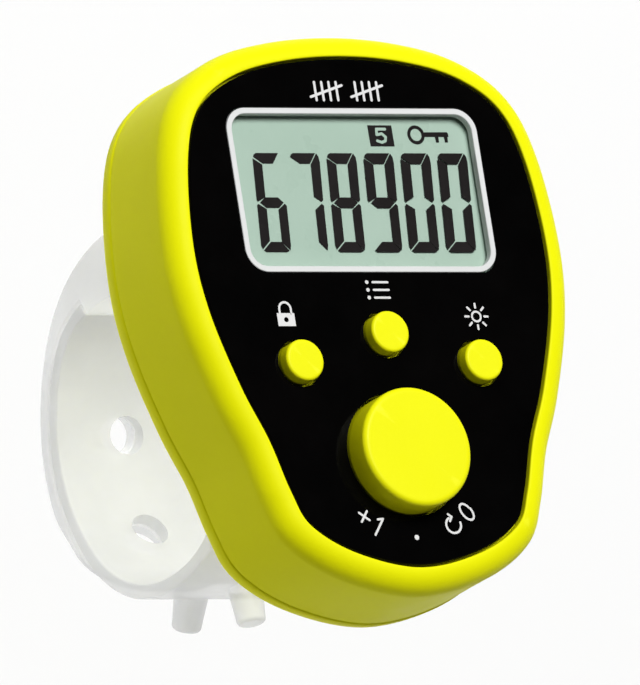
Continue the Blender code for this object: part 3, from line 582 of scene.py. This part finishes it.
# ---------------------------------------------------------------- panel, window and display
def build_panel():
    bottom = PANEL_TOP_Z - PANEL_THICK
    edge = 0.07
    rows = [(-FIT, bottom), (-FIT, PANEL_TOP_Z - edge), (-FIT - edge, PANEL_TOP_Z)]
    body = stacked(case_outline, rows)
    width, height = WINDOW_SIZE
    opening = box_outline(width, height, WINDOW_RADIUS, WINDOW_AT, 16)
    tools = [stacked(opening, [(0, -3.0), (0, 0.5)])] + button_hole_cutters(-3.0, 1.0)
    panel = place("panel_skin", carved(body, tools), PANEL)
    stands_for(panel, "case", "black_panel", "front_panel")

    inner = -FIT / 2 - BEZEL_WIDTH
    border = [
        (-FIT / 2, bottom), (-FIT / 2, PANEL_TOP_Z - WINDOW_EDGE), (-FIT / 2 - WINDOW_EDGE, PANEL_TOP_Z),
        (inner + WINDOW_EDGE, PANEL_TOP_Z), (inner, PANEL_TOP_Z - WINDOW_EDGE), (inner, bottom),
    ]
    bezel = place("window_border_skin", stacked(opening, border, closed=True), FRAME_GREY)
    stands_for(bezel, "case", "window_border", "window_bezel")

    rim = inner - FIT / 2
    pane = [(rim, bottom), (rim, PANEL_TOP_Z - 0.06), (rim - 0.06, PANEL_TOP_Z)]
    window = place("window_pane_skin", stacked(opening, pane), WINDOW)
    stands_for(window, "case", "clear_window", "lcd_window")


DIGIT_PITCH = 3.197
DIGIT_AT = (-8.97, 4.76)
DIGIT_SLANT = 0.065
# Outlines of a digit's segments, from its lower left corner, upright.
SEGMENTS = {
    "a": [(0.06, 7.38), (0.14, 7.58), (0.32, 7.68), (2.24, 7.68), (1.72, 6.86), (0.84, 6.86)],
    "b": [(2.32, 7.66), (2.5, 7.4), (2.57, 6.95), (2.54, 4.04), (2.4, 3.9), (1.78, 4.3), (1.78, 6.82)],
    "c": [(2.38, 3.76), (2.55, 3.6), (2.57, 0.5), (2.5, 0.14), (1.83, 0.8), (1.8, 3.3)],
    "d": [(0.2, 0.14), (0.42, 0.0), (2.2, 0.0), (2.42, 0.1), (1.8, 0.8), (0.86, 0.8)],
    "e": [(0.1, 3.74), (0.79, 3.34), (0.79, 0.87), (0.13, 0.22), (0.0, 0.5), (0.0, 3.64)],
    "f": [(0.0, 7.26), (0.77, 6.78), (0.77, 4.26), (0.1, 3.9), (0.0, 4.04)],
    "g": [(0.27, 3.84), (0.72, 4.24), (1.83, 4.24), (2.3, 3.84), (1.88, 3.43), (0.8, 3.43)],
}
DIGITS = {"6": "acdefg", "7": "abc", "8": "abcdefg", "9": "abcdfg", "0": "abcdef"}


def stroke(points, width):
    """Outlines of a line of some width through points, round at its ends and corners."""
    loops = []
    for a, b in zip(points, points[1:]):
        a, b = Vector(a), Vector(b)
        along = (b - a).normalized() * (width / 2)
        across = Vector((-along.y, along.x))
        loop = []
        for centre, sign in ((b, 1), (a, -1)):
            for step in range(7):
                t = math.radians(-90 + 30 * step)
                loop.append(tuple(centre + (along * math.cos(t) + across * math.sin(t)) * sign))
        loops.append(loop)
    return loops


def ring_points(centre, radius, start=0.0, end=360.0, steps=28):
    """Points of a ring; the last one of a whole turn lies on the first."""
    return arc(centre, radius, start, end, steps)


def printed(name, shapes, material, bottom):
    """One piece from many flat shapes, each a list of outlines and a little above the one before."""
    layers = [flat_print(loops, bottom + PRINT_STAGGER * i) for i, loops in enumerate(shapes)]
    piece = place(name, joined(layers), material)
    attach(piece, "case")


def build_display():
    shapes = []
    for place_number, digit in enumerate("678900"):
        left = DIGIT_AT[0] + place_number * DIGIT_PITCH
        for letter in DIGITS[digit]:
            shapes.append([[(left + x + y * DIGIT_SLANT, DIGIT_AT[1] + y) for x, y in SEGMENTS[letter]]])
    printed("lcd_segments", shapes, LCD_INK, INK_Z)

    box = [(1.89, 14.63), (3.97, 14.63), (3.99, 13.0), (1.91, 13.0)]
    five = [
        (0.42, 0.5), (-0.32, 0.5), (-0.36, 0.06), (0.08, 0.14),
        (0.38, -0.12), (0.3, -0.42), (-0.02, -0.54), (-0.4, -0.42),
    ]
    printed("lcd_channel_box", [[box]], LCD_INK, INK_Z)
    digit = [(2.93 + x, 13.83 + y) for x, y in five]
    printed("lcd_channel_digit", [[loop] for loop in stroke(digit, 0.22)], LCD_FACE, LCD_TOP_Z + 0.032)

    bow = (6.0, 13.9)
    ring = [ring_points(bow, 0.74)[:-1], ring_points(bow, 0.48)[:-1]]
    shaft = [[(6.68, 14.1), (8.72, 14.12), (8.8, 14.02), (8.8, 13.75), (6.68, 13.75)]]
    teeth = [[[(x, 13.76), (x + 0.3, 13.76), (x + 0.28, 13.32), (x + 0.04, 13.32)]] for x in (7.62, 8.4)]
    printed("lcd_key", [ring, shaft, *teeth], LCD_INK, INK_Z)


def spun(points, centre, angle):
    """Points turned by an angle in degrees and moved to a centre."""
    c, s = math.cos(math.radians(angle)), math.sin(math.radians(angle))
    return [(centre[0] + c * x - s * y, centre[1] + s * x + c * y) for x, y in points]


def build_prints():
    low = PANEL_TOP_Z + 0.002

    def ink(name, shapes):
        printed(name, shapes, WHITE_INK, low)

    x, y = LOCK_PRINT_AT
    body = [(x - 0.75, y - 0.85), (x + 0.75, y - 0.85), (x + 0.75, y + 0.15), (x - 0.75, y + 0.15)]
    lock = [[body, ring_points((x, y - 0.35), 0.2, steps=16)[:-1]]]
    shackle = [(x - 0.48, y + 0.15), (x - 0.48, y + 0.5)]
    shackle += ring_points((x, y + 0.5), 0.48, 180, 0, 10) + [(x + 0.48, y + 0.15)]
    lock += [[loop] for loop in stroke(shackle, PRINT_LINE)]
    ink("print_lock", lock)

    x, y = CHANNEL_PRINT_AT
    rows = []
    for up in (0.6, 0.0, -0.6):
        rows += [[loop] for loop in stroke([(x - 0.35, y + up), (x + 0.95, y + up)], PRINT_LINE)]
        rows.append([ring_points((x - 0.85, y + up), 0.15, steps=14)[:-1]])
    ink("print_channel", rows)

    x, y = LIGHT_PRINT_AT
    sun = [[ring_points((x, y), 0.46)[:-1], ring_points((x, y), 0.3)[:-1]]]
    for i in range(8):
        t = math.radians(45 * i)
        near, far = ((x + r * math.cos(t), y + r * math.sin(t)) for r in (0.68, 0.98))
        sun += [[loop] for loop in stroke([near, far], PRINT_LINE)]
    ink("print_light", sun)

    cx, cy, _, _ = BUTTONS["count"]
    radius = COUNT_PRINT_RADIUS

    def on_arc(angle, lines):
        t = math.radians(angle)
        centre = (cx + radius * math.cos(t), cy + radius * math.sin(t))
        placed = [spun(points, centre, angle - 270) for points in lines]
        return [[loop] for points in placed for loop in stroke(points, PRINT_LINE)]

    plus = [[(-1.25, 0.0), (-0.25, 0.0)], [(-0.75, -0.5), (-0.75, 0.5)]]
    one = [(0.3, 0.45), (0.65, 0.75), (0.65, -0.75)]
    ink("print_count", on_arc(PLUS_ONE_ANGLE, [*plus, one]))
    ink("print_dot", [[ring_points((cx, cy - radius - 0.05), 0.2, steps=16)[:-1]]])
    curl = 0.62
    around = ring_points((-0.75, 0.0), curl, 60, 340, 20)
    tip = (-0.75 + curl * math.cos(math.radians(60)), curl * math.sin(math.radians(60)))
    head = [(tip[0] + x, tip[1] + y) for x, y in ((-0.1, 0.34), (0.0, 0.0), (-0.36, -0.14))]
    zero = []
    for angle in range(0, 361, 20):
        t = math.radians(angle)
        zero.append((0.85 + 0.42 * math.cos(t), 0.72 * math.sin(t)))
    ink("print_reset", on_arc(RESET_ANGLE, [around, head, zero]))

    marks = []
    for middle in (-1.75, 1.75):
        for i in range(4):
            bar = middle + (i - 1.5) * 0.62
            marks += [[loop] for loop in stroke([(bar, 16.3), (bar, 17.7)], 0.2)]
        marks += [[loop] for loop in stroke([(middle - 1.4, 16.55), (middle + 1.4, 17.45)], 0.2)]
    ink("print_tally_marks", marks)


# ---------------------------------------------------------------- buttons
def build_buttons():
    for name, (x, y, radius, height) in BUTTONS.items():
        big = name == "count"
        top = PANEL_TOP_Z + height
        edge = 0.42 if big else 0.24
        profile = [(f * radius, top) for f in (0.06, 0.2, 0.4, 0.6)] + [(radius - edge - 0.12, top)]
        profile += arc((radius - edge, top - edge), edge, 88, 0, 8)
        flange = radius + (0.8 if big else 0.65)
        stem = 1.6 if big else 0.9
        profile += [(radius, -0.8), (radius, FLANGE_TOP_Z), (flange, FLANGE_TOP_Z)]
        profile += [(flange, FLANGE_BOTTOM_Z), (stem, FLANGE_BOTTOM_Z)]
        profile += [(stem, STEM_END_Z), (0.02, STEM_END_Z)]
        shape = turned(profile, (x, y), 128 if big else 72)
        button = place(f"{name}_button_skin", shape, YELLOW_KEY, sharp=40.0)
        stands_for(button, f"{name}_button", "yellow_button", f"{name}_button")


# ---------------------------------------------------------------- finger strap
def smooth_value(table, angle, period=None):
    """Value at an angle on a smooth curve through a table of (angle, value) rows."""
    angles = np.array([row[0] for row in table], float)
    values = np.array([row[1] for row in table], float)
    if period:
        angles = np.concatenate([angles - period, angles, angles + period])
        values = np.tile(values, 3)
    slopes = np.gradient(values, angles)
    k = int(np.clip(np.searchsorted(angles, angle) - 1, 0, len(angles) - 2))
    span = angles[k + 1] - angles[k]
    t = (angle - angles[k]) / span
    start = (1 + 2 * t) * (1 - t) ** 2 * values[k] + t * (1 - t) ** 2 * span * slopes[k]
    end = t**2 * (3 - 2 * t) * values[k + 1] + t**2 * (t - 1) * span * slopes[k + 1]
    return start + end


def inner_face(angle):
    return smooth_value(INNER_RADIUS, angle, period=360.0)


def middle_face(angle):
    from_root = 320.0 - angle
    return inner_face(angle) + ARM_THICK + ROOT_THICKENING * max(0.0, 1.0 - from_root / 30.0) ** 2


def outer_face(angle):
    return smooth_value(OUTER_RADIUS, angle)


def under_case(angle):
    """Radius at which the case's rear face is reached."""
    return (CASE.z / MM - CASE_DEPTH - FIT) / math.cos(math.radians(angle))


def section(angle, low, high, half, edge=0.16):
    """Rounded rectangle across the strap at an angle, from one radius to another."""
    t = math.radians(angle)
    out = Vector((0.0, math.sin(t), math.cos(t)))
    edge = min(edge, (high - low) * 0.4)
    ring = []
    corners = ((1, high, 0), (-1, high, 90), (-1, low, 180), (1, low, 270))
    for sx, radius, turned_by in corners:
        sr = 1 if radius == high else -1
        for i in range(4):
            a = math.radians(turned_by + 30 * i)
            x = sx * (half - edge) + edge * math.cos(a)
            r = radius - sr * edge + edge * math.sin(a)
            ring.append((Vector((x, 0.0, 0.0)) + out * r) * MM)
    return ring


def radial(mesh, angle, radius):
    """Turn a mesh built about Z so that its +Z points out of the strap at an angle."""
    t = math.radians(angle)
    at = Vector((0.0, math.sin(t), math.cos(t))) * radius * MM
    mesh.transform(Matrix.Translation(at) @ Matrix.Rotation(-t, 4, "X"))
    return mesh


def hole_tools(radius):
    """Cutters for an arm's two holes, centred at a radius."""
    tools = []
    for angle in HOLE_ANGLES:
        hole = round_outline(HOLE_RADIUS, (0.0, 0.0), 56)
        tool = stacked(hole, [(0, -3.0), (0, 3.0)], origin=Vector((0, 0, 0)))
        tools.append(radial(tool, angle, radius))
    return tools


def ease_end(rows, edge=0.16):
    """Round the free end where a list of (angle, low, high, half) rows starts."""
    angle, low, high, half = rows[0]
    extra = []
    for t in (90, 60, 30):
        a = math.radians(t)
        pull = edge * (1 - math.cos(a))
        extra.append((angle - math.degrees(edge * math.sin(a) / high), low + pull, high - pull, half - pull))
    return extra + rows


def build_strap():
    half = STRAP_WIDTH / 2
    step_angle = ARM_END_ANGLE - math.degrees(LAYER_GAP / MEAN_RADIUS)
    root = ARM_ROOT_ANGLE
    rows = []
    for i in range(68):
        angle = SEAM_ANGLE + (root - SEAM_ANGLE) * i / 68
        arm = outer_face(max(angle, root)) if angle > 0 else middle_face(360.0 + angle)
        rows.append((angle, inner_face(angle % 360.0), min(under_case(angle), arm), half))
    for i in range(87):
        angle = root + (step_angle - root) * i / 86
        rows.append((angle, inner_face(angle), outer_face(angle), half))
    rows.append((step_angle + 0.01, middle_face(step_angle) + LAYER_GAP, outer_face(step_angle), half))
    length = math.radians(TIP_ANGLE) * MEAN_RADIUS
    for i in range(1, 131):
        angle = step_angle + (TIP_ANGLE - step_angle) * (1 - (1 - i / 130) ** 1.35)
        left = length - math.radians(angle) * MEAN_RADIUS
        side = half
        if left < TIP_CORNER:
            side = half - TIP_CORNER + math.sqrt(max(0.0, TIP_CORNER**2 - (TIP_CORNER - left) ** 2))
        rows.append((angle, middle_face(angle) + LAYER_GAP, outer_face(angle), side))
    mesh = lofted([section(*row) for row in rows])
    upper = place("strap_upper_skin", carved(mesh, hole_tools(14.0)), SILICONE, sharp=40.0)
    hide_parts("strap_base", "strap_top_arm")
    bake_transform(upper)

    rows = []
    end = 360.0 + SEAM_ANGLE - 0.1
    for i in range(181):
        angle = ARM_END_ANGLE + (end - ARM_END_ANGLE) * i / 180
        top = min(middle_face(angle), under_case(angle)) if angle > 290 else middle_face(angle)
        rows.append((angle, inner_face(angle), top, half))
    rows = ease_end(rows)
    mesh = carved(lofted([section(*row) for row in rows]), hole_tools(12.5))
    pegs = []
    for angle in PEG_ANGLES:
        profile = [(0.02, PEG_LENGTH), (0.5, PEG_LENGTH - 0.03)]
        profile += arc((0.72, PEG_LENGTH - 0.4), 0.4, 75, 5, 5)
        profile += [(1.32, 0.0), (1.33, -0.5), (0.02, -0.5)]
        peg = turned(profile, (0.0, 0.0), 48, origin=Vector((0, 0, 0)))
        pegs.append(radial(peg, angle, middle_face(angle)))
    mesh = carved(mesh, pegs, "UNION")
    lower = place("strap_lower_skin", mesh, SILICONE, sharp=40.0)
    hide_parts("strap_bottom_arm")
    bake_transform(lower)


# ---------------------------------------------------------------- CAD pieces that keep their shape
CAD_LOOKS = {
    "lcd_front_glass": LCD_FACE, "lcd_rear_glass": LCD_FACE, "light_guide": MILKY, "lcd_holder": MILKY,
    "zebra_connector": PINK, "circuit_board": BOARD, "controller_chip": RESIN, "crystal": STEEL,
    "capacitor": TAN, "backlight_led_left": MILKY, "backlight_led_right": MILKY,
    "count_dome": DOME, "lock_dome": DOME, "channel_dome": DOME, "light_dome": DOME,
    "button_cell_left": STEEL, "button_cell_right": STEEL,
    "contact_positive": BRASS, "contact_negative": BRASS, "contact_bridge": BRASS,
}
for node, look in CAD_LOOKS.items():
    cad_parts[node].data.materials.clear()
    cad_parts[node].data.materials.append(look)

build_front_shell()
build_rear_shell()
build_screws()
build_panel()
build_display()
build_prints()
build_buttons()
build_strap()


def light_the_strap():
    """A lamp for the strap alone, which the case would otherwise keep in its shadow."""
    strap = bpy.data.collections.new("strap_pieces")
    blockers = bpy.data.collections.new("strap_lamp_blockers")
    for name in ("strap_upper_skin", "strap_lower_skin"):
        strap.objects.link(bpy.data.objects[name])
    blockers.objects.link(bpy.data.objects["strap_lower_skin"])
    lamp = area_light("strap_lamp", *STRAP_LAMP)
    lamp.light_linking.receiver_collection = strap
    lamp.light_linking.blocker_collection = blockers


light_the_strap()


# ---------------------------------------------------------------- floor and backdrop
def build_floor():
    n = Nodes("pale_floor")
    base = n.mix(n.noise(40 * MM, 2.0), (0.87, 0.87, 0.87), (0.855, 0.855, 0.855))
    material = n.finish(Base_Color=base, Roughness=0.7)
    mesh = bpy.data.meshes.new("floor")
    size = 4.0
    low = CAD_BOX[0].z - FLOOR_DROP
    corners = [(-size, -size, low), (size, -size, low), (size, size, low), (-size, size, low)]
    mesh.from_pydata(corners, [], [(0, 1, 2, 3)])
    mesh.materials.append(material)
    floor = bpy.data.objects.new("floor", mesh)
    bpy.context.scene.collection.objects.link(floor)


def build_world():
    world = bpy.data.worlds.new("studio")
    world.use_nodes = True
    tree = world.node_tree
    background = tree.nodes["Background"]
    way = tree.nodes.new("ShaderNodeTexCoord").outputs["Generated"]
    parts = tree.nodes.new("ShaderNodeSeparateXYZ")
    ramp = tree.nodes.new("ShaderNodeValToRGB")
    tree.links.new(way, parts.inputs[0])
    tree.links.new(parts.outputs["Z"], ramp.inputs["Fac"])
    tree.links.new(ramp.outputs["Color"], background.inputs["Color"])
    for stop, (height, grey) in zip(ramp.color_ramp.elements, (HORIZON, OVERHEAD)):
        stop.position = height
        stop.color = (grey, grey, grey, 1.0)
    background.inputs["Strength"].default_value = 1.0
    bpy.context.scene.world = world


build_floor()
build_world()
